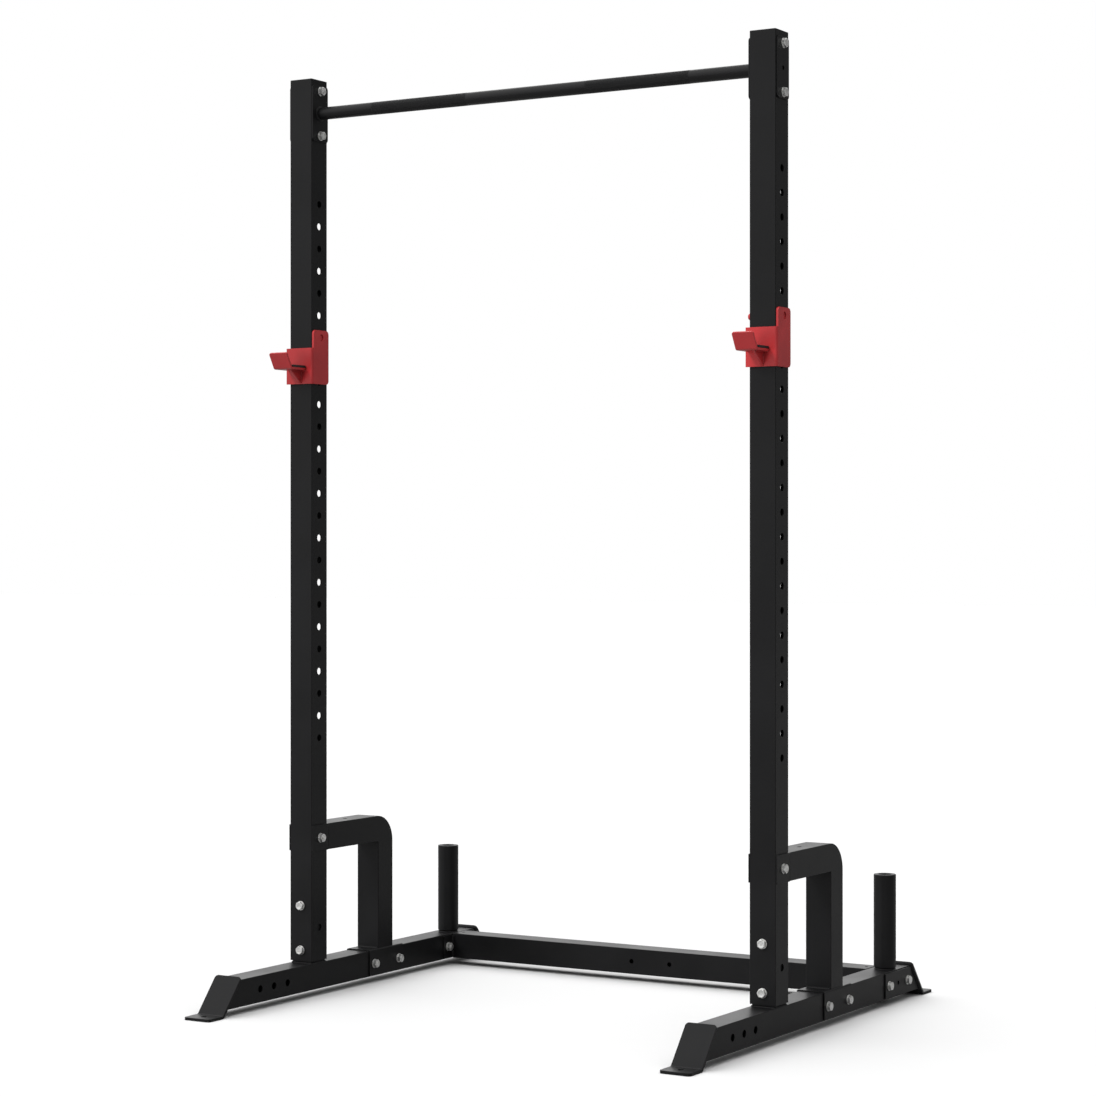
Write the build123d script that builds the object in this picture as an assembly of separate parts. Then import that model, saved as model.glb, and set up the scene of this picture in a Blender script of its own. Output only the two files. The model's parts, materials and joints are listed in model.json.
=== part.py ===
from build123d import *
import os

# Power cage: a squat stand with a pull-up bar, two J-hooks and two plate posts.
#
# Millimetres. The origin is on the floor at the centre of the footprint. X runs across the stand,
# from the left upright to the right one, Y runs from front to back, and Z points up.

# ---------------------------------------------------------------- driving dimensions

UPRIGHT_SPACING = 1174.0  # between the centre planes of the left and right sides
BASE_DEPTH = 1188.0  # front edge of the front feet to rear edge of the rear feet
OVERALL_HEIGHT = 2094.0
HOLE_PITCH = 50.8  # two inches, the pitch of every row of holes
PEG_HOLES = 25  # in the side walls of each upright

TUBE = 60.0  # outer width of the square tubes
TUBE_WALL = 2.5
TUBE_CORNER = 1.5  # outer corner radius of the square tubes
PLATE = 3.0  # thickness of the brackets and joint plates
PLATE_CORNER = 2.0
JOINT_PLATE_LENGTH = 138.0  # along the row of its two bolts
JOINT_PLATE_HEIGHT = 55.0

RUNNER_UNDERSIDE = 16.4  # height of the runners' lower face above the floor
FRONT_FACE_Y = -211.2  # front face of the uprights
BRACE_Y = 86.4  # centre of the brace's vertical leg
REAR_Y = 404.3  # centre of the rear crossmember and of the plate posts

FOOT_PLATE = 6.4
FOOT_WIDTH = 70.0
FOOT_FLANGE = 52.7  # flat length on the floor
FOOT_SLOPE = 50.0  # degrees above the floor
FOOT_HEIGHT = 83.5
FOOT_CORNER = 8.0
ANCHOR_HOLE_R = 6.5
ANCHOR_HOLE_INSET = 27.3  # from the outer edge of the foot

PEG_HOLE_R = 8.0
REAR_WINDOW_WIDTH = 26.0  # of the openings in the upright's rear wall
REAR_WINDOW_HEIGHT = 28.0
REAR_WINDOW_CORNER = 3.0
PEG_ROW_TOP = 1732.6  # top peg hole above the runner
LOCATING_HOLE_R = 8.0
ACCESSORY_HOLE_R = 5.5
VENT_HOLE_R = 4.0
PLATE_CENTRE_HOLE_R = 4.75

STUB_TUBE = 53.0
STUB_LENGTH = 165.0
STUB_WALL = 3.0
UPRIGHT_GAP = 5.0  # of the stub left showing between runner and upright
FOOT_BOLT_LOW = 29.6  # above the runner, and again two pitches higher

BRACE_LEG_Z = 285.2  # centre of the brace's level leg above the runner
BRACE_BEND_R = 32.0  # at the centre line
BRACE_HOLE_Y = -37.2
SADDLE_DEPTH = 61.0
PLATE_BEND_R = 1.0  # inside radius of the folded plates

BAR_HEIGHT = 2016.0
BAR_R = 14.25
BAR_WALL = 3.0
BAR_END_PLATE_WIDTH = 59.0
BAR_OUTER_PLATE_WIDTH = 54.0
BAR_PLATE_HEIGHT = 128.0
BAR_PLATE_CORNER = 8.0

POST_R = 25.0
POST_WALL = 2.5
POST_TOP = 212.6  # above the runner
POST_GAP = 4.0
POST_STUB_R = 21.5
POST_STUB_LENGTH = 60.0
POST_RECESS_R = 15.0

CAP_LID = 2.0
CAP_SKIRT = 15.0
CAP_WALL = 2.0
CAP_CLEARANCE = 0.2

BOLT_R = 5.0  # M10
BOLT_HOLE_R = 5.5
BOLT_HEAD_FLATS = 17.0
BOLT_HEAD = 6.4
NUT = 8.0
THREAD_END = 1.5  # beyond the nut
WASHER_R = 10.5
WASHER = 2.0
WASHER_HOLE_R = 5.25
THREAD_GAP = 0.05

HOOK_HOLE = 6  # the peg hole, counted down from the top, that the hooks hang in
HOOK_PLATE = 5.0
HOOK_TOP = 16.5  # every hook height is measured from the peg's axis
HOOK_FRONT_TOP = -24.7
HOOK_BOTTOM = -106.5
HOOK_FACE_GAP = 0.5  # front plate to upright
HOOK_SIDE_GAP = 1.0  # side plate to upright
HOOK_SIDE_DEPTH = 58.0  # how far back the side plate reaches from the upright's front face
HOOK_OVERHANG = 6.4  # of the front plate beyond the upright, away from the side plate
HOOK_BEND_R = 1.0
HOOK_SIDE_CORNER = 9.0
PEG_R = 7.5
PEG_PROUD = 17.0  # of the peg's rounded end beyond the upright
PEG_END_R = 5.0
PEG_RECESS = 2.5  # of its other end in the side plate's hole
PEG_FIT = 0.05
SEAT_X = (-31.5, 17.5)  # from the upright's centre plane
SEAT_DEPTH = 53.0  # front plate to the fold of the lip
SEAT_UNDERSIDE = -75.5
LIP_LENGTH = 39.0
LIP_LEAN = 30.0  # degrees forward from upright
LIP_CORNER = 4.5
LIP_BEND_R = 2.0
PAD = 5.5
GUSSET_X = 2.5
GUSSET_DEPTH = 42.0
GUSSET_DROP = 30.0

# ---------------------------------------------------------------- derived places

SIDES = {"left": -1, "right": 1}
HALF = TUBE / 2
UPRIGHT_Y = FRONT_FACE_Y + HALF
RUNNER_TOP = RUNNER_UNDERSIDE + TUBE
RUNNER_Z = RUNNER_UNDERSIDE + HALF
BOLT_PAIR = (-HOLE_PITCH, HOLE_PITCH)


def side_x(side):
    """Centre plane of the left or right side frame."""
    return SIDES[side] * UPRIGHT_SPACING / 2


def peg_hole_z(index):
    """Height of a peg hole, counted down from the top one."""
    return RUNNER_TOP + PEG_ROW_TOP - index * HOLE_PITCH


# ---------------------------------------------------------------- building blocks


def block(x, y, z):
    """A box from its low and high limits along each axis."""
    centre = ((x[0] + x[1]) / 2, (y[0] + y[1]) / 2, (z[0] + z[1]) / 2)
    return Pos(*centre) * Box(x[1] - x[0], y[1] - y[0], z[1] - z[0])


def rod(centre, axis, radius, length):
    """A cylinder along X, Y or Z, centred on a point."""
    turn = {"x": Rot(0, 90, 0), "y": Rot(90, 0, 0), "z": Rot(0, 0, 0)}[axis]
    return Pos(*centre) * turn * Cylinder(radius, length)


def square_tube(size, wall, corner, length):
    """A square tube that stands on the XY plane."""
    outline = RectangleRounded(size, size, corner)
    bore = size - 2 * wall
    return extrude(outline - RectangleRounded(bore, bore, corner / 2), length)


def bent_plate(path, thickness, bend_r, plane, width):
    """A folded plate: path is its mid-line in the plane, and width is centred on the plane."""
    middle_r = bend_r + thickness / 2
    section = trace(FilletPolyline(*path, radius=middle_r), thickness)
    return extrude(plane * section, width / 2, both=True)


def round_corners(plate, thickness, radius, select=None):
    """Round the free corners of a plate, whose edges are as long as the plate is thick."""
    corners = plate.edges().filter_by(lambda edge: abs(edge.length - thickness) < 1e-3)
    if select:
        corners = corners.filter_by(select)
    return fillet(corners, radius)


def joint_plate(x, y, z, length, height, corner, centre_hole=False):
    """A flat plate against a tube's side: two bolt holes, and sometimes a small one between them.

    length runs along Y and height along Z, and the holes follow the plate's long side.
    """
    outline = Plane.YZ * RectangleRounded(length, height, corner)
    plate = Pos(x, y, z) * extrude(outline, PLATE / 2, both=True)
    for offset in BOLT_PAIR:
        dy, dz = (offset, 0) if length > height else (0, offset)
        plate -= rod((x, y + dy, z + dz), "x", BOLT_HOLE_R, 2 * PLATE)
    if centre_hole:
        plate -= rod((x, y, z), "x", PLATE_CENTRE_HOLE_R, 2 * PLATE)
    return plate


# ---------------------------------------------------------------- side frames


def upright(side):
    """Square column: peg holes side to side, every second one with a window in the rear wall."""
    x = side_x(side)
    bottom = RUNNER_TOP + UPRIGHT_GAP
    length = OVERALL_HEIGHT - CAP_LID - bottom
    column = Pos(x, UPRIGHT_Y, bottom) * square_tube(TUBE, TUBE_WALL, TUBE_CORNER, length)
    through = 2 * TUBE
    window = RectangleRounded(REAR_WINDOW_WIDTH, REAR_WINDOW_HEIGHT, REAR_WINDOW_CORNER)
    for index in range(PEG_HOLES):
        column -= rod((x, UPRIGHT_Y, peg_hole_z(index)), "x", PEG_HOLE_R, through)
        if index % 2:
            rear_wall = Pos(x, UPRIGHT_Y + HALF, peg_hole_z(index)) * Rot(90, 0, 0)
            column -= rear_wall * extrude(window, TUBE / 4, both=True)
    for z in foot_bolt_heights():
        column -= rod((x, UPRIGHT_Y, z), "y", BOLT_HOLE_R, through)
    between = RUNNER_TOP + FOOT_BOLT_LOW + HOLE_PITCH
    column -= rod((x, UPRIGHT_Y, between), "x", LOCATING_HOLE_R, through)
    for z in (RUNNER_TOP + BRACE_LEG_Z, BAR_HEIGHT - HOLE_PITCH, BAR_HEIGHT + HOLE_PITCH):
        column -= rod((x, UPRIGHT_Y, z), "x", BOLT_HOLE_R, through)
    return column


def foot_bolt_heights():
    low = RUNNER_TOP + FOOT_BOLT_LOW
    return (low, low + 2 * HOLE_PITCH)


def upright_cap(side):
    """Plastic plug: a lid over the tube's end and a hollow skirt inside it."""
    lid = extrude(RectangleRounded(TUBE, TUBE, TUBE_CORNER), CAP_LID)
    lid = chamfer(lid.edges().group_by(Axis.Z)[-1], CAP_LID / 3)
    skirt_size = TUBE - 2 * TUBE_WALL - 2 * CAP_CLEARANCE
    skirt = square_tube(skirt_size, CAP_WALL, TUBE_CORNER, CAP_SKIRT)
    top = Pos(side_x(side), UPRIGHT_Y, OVERALL_HEIGHT - CAP_LID)
    return top * (lid + Pos(0, 0, -CAP_SKIRT) * skirt)


def upright_stub(side):
    """Inner tube, welded to the runner, that the upright slides over."""
    x = side_x(side)
    tube = square_tube(STUB_TUBE, STUB_WALL, TUBE_CORNER, STUB_LENGTH)
    stub = Pos(x, UPRIGHT_Y, RUNNER_TOP) * tube
    for z in foot_bolt_heights():
        stub -= rod((x, UPRIGHT_Y, z), "y", BOLT_HOLE_R, TUBE)
    return stub


def foot_path():
    """Mid-line of the front foot in the YZ plane, from its outer edge to its top."""
    slope = Vector(1, 0).rotate(Axis.Z, FOOT_SLOPE)
    normal = slope.rotate(Axis.Z, 90)
    edge = Vector(-BASE_DEPTH / 2, FOOT_PLATE / 2)
    fold = edge + Vector(FOOT_FLANGE, 0) + Vector(-FOOT_PLATE / 4, 0)
    rise = FOOT_HEIGHT - fold.Y - normal.Y * FOOT_PLATE / 2
    return edge, fold, fold + slope * (rise / slope.Y)


def front_foot(side):
    """Bent plate: a flange flat on the floor with an anchor hole, and a slope up to the runner."""
    path = [(point.X, point.Y) for point in foot_path()]
    plate = bent_plate(path, FOOT_PLATE, FOOT_PLATE, Plane.YZ, FOOT_WIDTH)
    plate = round_corners(plate, FOOT_PLATE, FOOT_CORNER)
    anchor = (0, -BASE_DEPTH / 2 + ANCHOR_HOLE_INSET, 0)
    plate -= rod(anchor, "z", ANCHOR_HOLE_R, 4 * FOOT_PLATE)
    return Pos(side_x(side), 0, 0) * plate


def rear_foot(side):
    return mirror(front_foot(side), Plane.XZ)


def runner(side):
    """Floor tube, cut at both ends to lie against the sloping backs of the feet."""
    x = side_x(side)
    tube = square_tube(TUBE, TUBE_WALL, TUBE_CORNER, BASE_DEPTH)
    tube = Pos(x, -BASE_DEPTH / 2, RUNNER_Z) * Rot(-90, 0, 0) * tube
    fold, top = foot_path()[1:]
    slope = (top - fold).normalized()
    under_face = fold + slope.rotate(Axis.Z, -90) * (FOOT_PLATE / 2)
    low = under_face - slope * TUBE
    high = under_face + slope * 3 * TUBE
    waste = make_face(Polyline((low.X, low.Y), (high.X, high.Y), (low.X - TUBE, high.Y), close=True))
    waste = Pos(x, 0, 0) * extrude(Plane.YZ * waste, TUBE, both=True)
    tube -= waste
    tube -= mirror(waste, Plane.XZ)
    for y in accessory_hole_ys():
        tube -= rod((x, y, RUNNER_Z), "x", PEG_HOLE_R, 2 * TUBE)
    for centre in (BRACE_Y, REAR_Y):
        for offset in BOLT_PAIR:
            tube -= rod((x, centre + offset, RUNNER_Z), "x", BOLT_HOLE_R, 2 * TUBE)
    return tube


def accessory_hole_ys():
    """Three cross holes in the runner, in front of the upright."""
    last = FRONT_FACE_Y - 91.0
    return [last - step * HOLE_PITCH for step in (2, 1, 0)]


# ---------------------------------------------------------------- braces


def brace(side):
    """One square tube bent at a right angle: level from the upright, then down to the runner."""
    level_z = RUNNER_TOP + BRACE_LEG_Z
    start = UPRIGHT_Y + HALF + PLATE
    corners = [(start, level_z), (BRACE_Y, level_z), (BRACE_Y, RUNNER_TOP + PLATE)]
    path = Plane.YZ * FilletPolyline(*corners, radius=BRACE_BEND_R)
    face_plane = Plane(origin=(0, start, level_z), x_dir=(1, 0, 0), z_dir=(0, 1, 0))
    bore = TUBE - 2 * TUBE_WALL
    outer = sweep(face_plane * RectangleRounded(TUBE, TUBE, TUBE_CORNER), path)
    inner = sweep(face_plane * RectangleRounded(bore, bore, TUBE_CORNER / 2), path)
    tube = outer - inner
    tube -= rod((0, BRACE_HOLE_Y, level_z + HALF), "z", ACCESSORY_HOLE_R, TUBE / 2)
    return Pos(side_x(side), 0, 0) * tube


def brace_bracket(side):
    """U-shaped plate on the brace's end: its web is behind the upright, its cheeks beside it."""
    reach = HALF + PLATE / 2
    front = UPRIGHT_Y - HALF
    back = UPRIGHT_Y + reach
    path = [(-reach, front), (-reach, back), (reach, back), (reach, front)]
    plate = bent_plate(path, PLATE, PLATE_BEND_R, Plane.XY, TUBE)
    plate = round_corners(plate, PLATE, PLATE_CORNER)
    plate = Pos(side_x(side), 0, RUNNER_TOP + BRACE_LEG_Z) * plate
    bolt = (side_x(side), UPRIGHT_Y, RUNNER_TOP + BRACE_LEG_Z)
    return plate - rod(bolt, "x", BOLT_HOLE_R, 2 * TUBE)


def brace_saddle(side):
    """Upside-down U-shaped plate on the brace's foot, over the runner."""
    reach = HALF + PLATE / 2
    top = RUNNER_TOP + PLATE / 2
    low = RUNNER_TOP + PLATE - SADDLE_DEPTH
    path = [(-reach, low), (-reach, top), (reach, top), (reach, low)]
    plate = bent_plate(path, PLATE, PLATE_BEND_R, Plane.XZ, JOINT_PLATE_LENGTH)
    plate = round_corners(plate, PLATE, PLATE_CORNER)
    plate = Pos(side_x(side), BRACE_Y, 0) * plate
    for offset in BOLT_PAIR:
        bolt = (side_x(side), BRACE_Y + offset, RUNNER_Z)
        plate -= rod(bolt, "x", BOLT_HOLE_R, 2 * TUBE)
    return plate


# ---------------------------------------------------------------- rear crossmember and pull-up bar


def rear_crossmember():
    """Square tube between the runners, welded to its end plates."""
    reach = UPRIGHT_SPACING / 2 - HALF - PLATE
    tube = square_tube(TUBE, TUBE_WALL, TUBE_CORNER, 2 * reach)
    tube = Pos(-reach, REAR_Y, RUNNER_Z) * Rot(0, 90, 0) * tube
    for x in BOLT_PAIR:
        tube -= rod((x, REAR_Y - HALF, RUNNER_Z), "y", ACCESSORY_HOLE_R, TUBE / 2)
    for x in (-reach + 3 * VENT_HOLE_R, reach - 3 * VENT_HOLE_R):
        tube -= rod((x, REAR_Y, RUNNER_TOP), "z", VENT_HOLE_R, TUBE / 2)
    return tube


def crossmember_plate(side, facing):
    """Plate on the inner (-1) or outer (+1) face of the runner."""
    x = SIDES[side] * (UPRIGHT_SPACING / 2 + facing * (HALF + PLATE / 2))
    size = (JOINT_PLATE_LENGTH, JOINT_PLATE_HEIGHT)
    return joint_plate(x, REAR_Y, RUNNER_Z, *size, PLATE_CORNER, facing > 0)


def bar_plate(side, facing):
    """Plate on the inner (-1) or outer (+1) face of the upright, at the pull-up bar."""
    x = SIDES[side] * (UPRIGHT_SPACING / 2 + facing * (HALF + PLATE / 2))
    width = BAR_OUTER_PLATE_WIDTH if facing > 0 else BAR_END_PLATE_WIDTH
    size = (width, BAR_PLATE_HEIGHT)
    return joint_plate(x, UPRIGHT_Y, BAR_HEIGHT, *size, BAR_PLATE_CORNER, facing > 0)


def pull_up_bar():
    """Round tube between the two inner plates."""
    length = UPRIGHT_SPACING - TUBE - 2 * PLATE
    centre = (0, UPRIGHT_Y, BAR_HEIGHT)
    return rod(centre, "x", BAR_R, length) - rod(centre, "x", BAR_R - BAR_WALL, length)


# ---------------------------------------------------------------- plate posts


def ring(outer_r, inner_r, bottom, top):
    """A vertical tube or ring on the Z axis."""
    return extrude(Pos(0, 0, bottom) * (Circle(outer_r) - Circle(inner_r)), top - bottom)


def plate_post(side):
    """Round sleeve that stands over its stub and stores weight plates."""
    sleeve = ring(POST_R, POST_R - POST_WALL, POST_GAP, POST_TOP - CAP_LID)
    return Pos(side_x(side), REAR_Y, RUNNER_TOP) * sleeve


def plate_post_stub(side):
    stub = ring(POST_STUB_R, POST_STUB_R - STUB_WALL, 0, POST_STUB_LENGTH)
    return Pos(side_x(side), REAR_Y, RUNNER_TOP) * stub


def plate_post_cap(side):
    """Plastic cap: a ring over the sleeve's end, and a cup inside it with a round recess."""
    rim = ring(POST_R, POST_RECESS_R, -CAP_LID, 0)
    rim = chamfer(rim.edges().group_by(Axis.Z)[-1].sort_by(SortBy.RADIUS)[-1], CAP_LID / 2)
    cup_r = POST_R - POST_WALL - CAP_CLEARANCE
    cup = ring(cup_r, cup_r - CAP_WALL, -CAP_LID - CAP_SKIRT, -CAP_LID)
    well = ring(POST_RECESS_R + CAP_WALL, POST_RECESS_R, -CAP_SKIRT, -CAP_LID)
    floor = Pos(0, 0, -CAP_SKIRT - CAP_LID / 2) * Cylinder(POST_RECESS_R + CAP_WALL, CAP_LID)
    return Pos(side_x(side), REAR_Y, RUNNER_TOP + POST_TOP) * (rim + cup + well + floor)


# ---------------------------------------------------------------- fasteners


def hexagon(height):
    """Hexagonal prism from the XY plane up, with its upper corners turned off."""
    prism = extrude(RegularPolygon(BOLT_HEAD_FLATS / 2, 6, major_radius=False), height)
    corner_r = BOLT_HEAD_FLATS / 3**0.5
    bevel = corner_r - BOLT_HEAD_FLATS / 2
    round_bar = extrude(Circle(corner_r), height)
    return prism & chamfer(round_bar.edges().group_by(Axis.Z)[-1], bevel / 2, bevel)


def bolt(grip):
    """Bolt along Z, head up, through a stack that reaches from Z = -grip / 2 to grip / 2."""
    seat = grip / 2 + WASHER
    end = -seat - NUT - THREAD_END
    shank = extrude(Circle(BOLT_R), seat - end)
    shank = chamfer(shank.edges().group_by(Axis.Z)[0], 1.0)
    return Pos(0, 0, seat) * hexagon(BOLT_HEAD) + Pos(0, 0, end) * shank


def washers(grip):
    face = grip / 2
    upper = ring(WASHER_R, WASHER_HOLE_R, face, face + WASHER)
    return [upper, mirror(upper, Plane.XY)]


def nut(grip):
    """Nut under the lower washer, with its chamfered side down."""
    body = Pos(0, 0, -grip / 2 - WASHER) * Rot(180, 0, 0) * hexagon(NUT)
    return body - Cylinder(BOLT_R + THREAD_GAP, 2 * grip)


def outward(side, y, z):
    """Axis of a cross bolt whose head is on the outer side of the left or right frame."""
    direction = (SIDES[side], 0, 0)
    return Plane(origin=(side_x(side), y, z), x_dir=(0, 1, 0), z_dir=direction)


def forward(side, z):
    """Axis of a bolt through the upright whose head is at the front."""
    return Plane(origin=(side_x(side), UPRIGHT_Y, z), x_dir=(1, 0, 0), z_dir=(0, -1, 0))


def joint_bolts():
    """For each bolted joint: the axes of its bolts, and how thick the stack is."""
    stack = TUBE + 2 * PLATE
    brace_z = RUNNER_TOP + BRACE_LEG_Z
    bar_zs = [BAR_HEIGHT + offset for offset in BOLT_PAIR]
    rear_ys = [REAR_Y + offset for offset in BOLT_PAIR]
    saddle_ys = [BRACE_Y + offset for offset in BOLT_PAIR]
    return {
        "upright": ([forward(s, z) for s in SIDES for z in foot_bolt_heights()], TUBE),
        "bracket": ([outward(s, UPRIGHT_Y, brace_z) for s in SIDES], stack),
        "saddle": ([outward(s, y, RUNNER_Z) for s in SIDES for y in saddle_ys], stack),
        "crossmember": ([outward(s, y, RUNNER_Z) for s in SIDES for y in rear_ys], stack),
        "bar": ([outward(s, UPRIGHT_Y, z) for s in SIDES for z in bar_zs], stack),
    }


def fasteners():
    """Bolts, washers and nuts of each joint, both sides of the stand together."""
    nodes = {}
    for joint, (axes, grip) in joint_bolts().items():
        nodes[f"{joint}_bolts"] = [axis * bolt(grip) for axis in axes]
        nodes[f"{joint}_washers"] = [axis * piece for axis in axes for piece in washers(grip)]
        nodes[f"{joint}_nuts"] = [axis * nut(grip) for axis in axes]
    return {name: Compound(sum((solids_of(p) for p in parts), [])) for name, parts in nodes.items()}


def solids_of(piece):
    return list(piece.solids())


# ---------------------------------------------------------------- J-hooks

# Each hook is made about the peg's axis: X from the upright's centre plane, Y from the peg, which is
# at the middle of the upright, and Z from the peg. Both hooks are the same part, not a mirrored pair.

HOOK_FACE = -HALF - HOOK_FACE_GAP  # back of the front plate
HOOK_SIDE = HALF + HOOK_SIDE_GAP  # inner face of the side plate
SEAT_TOP = SEAT_UNDERSIDE + HOOK_PLATE
SEAT_WIDTH = SEAT_X[1] - SEAT_X[0]
SEAT_MIDDLE = (SEAT_X[0] + SEAT_X[1]) / 2


def place_hook(side, piece):
    return Pos(side_x(side), UPRIGHT_Y, peg_hole_z(HOOK_HOLE)) * piece


def hook_bracket(side):
    """Tall side plate and wide front plate, one sheet folded round the upright's front corner."""
    side_mid = HOOK_SIDE + HOOK_PLATE / 2
    front_mid = HOOK_FACE - HOOK_PLATE / 2
    back = HOOK_SIDE_DEPTH - HALF
    path = [(-HALF - HOOK_OVERHANG, front_mid), (side_mid, front_mid), (side_mid, back)]
    height = HOOK_FRONT_TOP - HOOK_BOTTOM
    angle = bent_plate(path, HOOK_PLATE, HOOK_BEND_R, Plane.XY, height)
    angle = Pos(0, 0, (HOOK_FRONT_TOP + HOOK_BOTTOM) / 2) * angle
    x = (HOOK_SIDE, HOOK_SIDE + HOOK_PLATE)
    tall = block(x, (HOOK_FACE + HOOK_BEND_R, back), (HOOK_BOTTOM, HOOK_TOP))
    sheet = angle + tall
    behind = lambda edge: edge.center().Y > back - 1 or edge.center().Z > HOOK_TOP - 1
    sheet = round_corners(sheet, HOOK_PLATE, HOOK_SIDE_CORNER, behind)
    sheet -= rod((0, 0, 0), "x", PEG_R + PEG_FIT, 4 * HALF)
    return place_hook(side, sheet)


def hook_peg(side):
    """Round bar, a little short of the side plate's face at one end and rounded at the other."""
    start = -HALF - PEG_PROUD
    end = HOOK_SIDE + HOOK_PLATE - PEG_RECESS
    bar = rod(((start + end) / 2, 0, 0), "x", PEG_R, end - start)
    bar = fillet(bar.edges().group_by(Axis.X)[0], PEG_END_R)
    return place_hook(side, bar)


def hook_seat(side):
    """Seat plate with its leaning lip, one folded sheet welded to the front plate."""
    root = HOOK_FACE - HOOK_PLATE
    level = SEAT_UNDERSIDE + HOOK_PLATE / 2
    fold = Vector(root - SEAT_DEPTH, level)
    tip = fold + Vector(0, LIP_LENGTH).rotate(Axis.Z, LIP_LEAN)
    path = [(root, level), (fold.X, fold.Y), (tip.X, tip.Y)]
    sheet = bent_plate(path, HOOK_PLATE, LIP_BEND_R, Plane.YZ, SEAT_WIDTH)
    at_tip = lambda edge: edge.center().Z > SEAT_TOP + LIP_LENGTH / 2
    sheet = round_corners(sheet, HOOK_PLATE, LIP_CORNER, at_tip)
    return place_hook(side, Pos(SEAT_MIDDLE, 0, 0) * sheet)


def hook_pad(side):
    """Plastic strip that lies on the seat, between the front plate and the lip."""
    root = HOOK_FACE - HOOK_PLATE
    length = SEAT_DEPTH - HOOK_PLATE
    strip = block(SEAT_X, (root - length, root), (SEAT_TOP, SEAT_TOP + PAD))
    front_edge = strip.edges().filter_by(Axis.X).group_by(Axis.Y)[0]
    return place_hook(side, chamfer(front_edge, 1.0))


def hook_gusset(side):
    """Triangular plate under the seat."""
    root = HOOK_FACE - HOOK_PLATE
    corners = [
        (root, SEAT_UNDERSIDE),
        (root - GUSSET_DEPTH, SEAT_UNDERSIDE),
        (root, SEAT_UNDERSIDE - GUSSET_DROP),
    ]
    outline = make_face(Polyline(*corners, close=True))
    plate = extrude(Plane.YZ * outline, HOOK_PLATE / 2, both=True)
    return place_hook(side, Pos(GUSSET_X, 0, 0) * plate)


# ---------------------------------------------------------------- the whole stand


def build():
    """Every node by name."""
    nodes = {
        "rear_crossmember": rear_crossmember(),
        "pull_up_bar": pull_up_bar(),
    }
    for side in SIDES:
        nodes[f"upright_{side}"] = upright(side)
        nodes[f"upright_cap_{side}"] = upright_cap(side)
        nodes[f"upright_stub_{side}"] = upright_stub(side)
        nodes[f"runner_{side}"] = runner(side)
        nodes[f"front_foot_{side}"] = front_foot(side)
        nodes[f"rear_foot_{side}"] = rear_foot(side)
        nodes[f"brace_{side}"] = brace(side)
        nodes[f"brace_bracket_{side}"] = brace_bracket(side)
        nodes[f"brace_saddle_{side}"] = brace_saddle(side)
        nodes[f"crossmember_end_plate_{side}"] = crossmember_plate(side, -1)
        nodes[f"crossmember_outer_plate_{side}"] = crossmember_plate(side, 1)
        nodes[f"bar_end_plate_{side}"] = bar_plate(side, -1)
        nodes[f"bar_outer_plate_{side}"] = bar_plate(side, 1)
        nodes[f"plate_post_{side}"] = plate_post(side)
        nodes[f"plate_post_stub_{side}"] = plate_post_stub(side)
        nodes[f"plate_post_cap_{side}"] = plate_post_cap(side)
        nodes[f"hook_bracket_{side}"] = hook_bracket(side)
        nodes[f"hook_peg_{side}"] = hook_peg(side)
        nodes[f"hook_seat_{side}"] = hook_seat(side)
        nodes[f"hook_pad_{side}"] = hook_pad(side)
        nodes[f"hook_gusset_{side}"] = hook_gusset(side)
    nodes.update(fasteners())
    return nodes


os.makedirs("parts", exist_ok=True)
for name, shape in build().items():
    export_step(shape, f"parts/{name}.step")
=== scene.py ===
import json
import math

import bmesh
import bpy
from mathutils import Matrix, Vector


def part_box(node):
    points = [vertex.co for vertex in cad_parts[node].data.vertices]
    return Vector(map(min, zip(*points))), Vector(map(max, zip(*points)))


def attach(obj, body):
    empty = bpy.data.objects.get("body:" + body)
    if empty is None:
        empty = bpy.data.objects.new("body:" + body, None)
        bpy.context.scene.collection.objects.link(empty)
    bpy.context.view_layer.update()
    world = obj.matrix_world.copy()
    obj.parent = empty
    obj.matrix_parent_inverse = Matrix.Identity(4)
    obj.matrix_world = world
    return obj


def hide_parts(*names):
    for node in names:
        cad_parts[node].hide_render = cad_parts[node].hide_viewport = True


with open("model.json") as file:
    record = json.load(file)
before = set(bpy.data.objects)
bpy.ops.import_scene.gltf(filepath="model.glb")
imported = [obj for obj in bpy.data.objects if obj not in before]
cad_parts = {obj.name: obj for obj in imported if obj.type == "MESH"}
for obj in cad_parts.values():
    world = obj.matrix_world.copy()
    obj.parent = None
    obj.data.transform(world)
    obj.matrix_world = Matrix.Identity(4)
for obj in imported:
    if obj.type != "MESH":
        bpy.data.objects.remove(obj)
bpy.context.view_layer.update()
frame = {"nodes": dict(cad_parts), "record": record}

MM = 0.001
TAU = 2 * math.pi
X, Y, Z = Vector((1, 0, 0)), Vector((0, 1, 0)), Vector((0, 0, 1))
SIDES = {"left": -1, "right": 1}
scene = bpy.context.scene


# ---------------------------------------------------------------- camera, light and floor

CAMERA_PLACE = (3.1175, -5.2815, 1.0238)
CAMERA_TURN = 31
LENS, SENSOR = 90.0, 36.0
NEAREST, FARTHEST = 0.1, 100.0


def make_camera():
    """Level, at about half the uprights' height, from the front and right, with a long lens."""
    data = bpy.data.cameras.new("camera")
    data.lens, data.sensor_width = LENS, SENSOR
    data.clip_start, data.clip_end = NEAREST, FARTHEST
    camera = bpy.data.objects.new("camera", data)
    scene.collection.objects.link(camera)
    camera.location = CAMERA_PLACE
    camera.rotation_euler = (math.radians(90), 0, math.radians(CAMERA_TURN))
    scene.camera = camera


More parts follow.
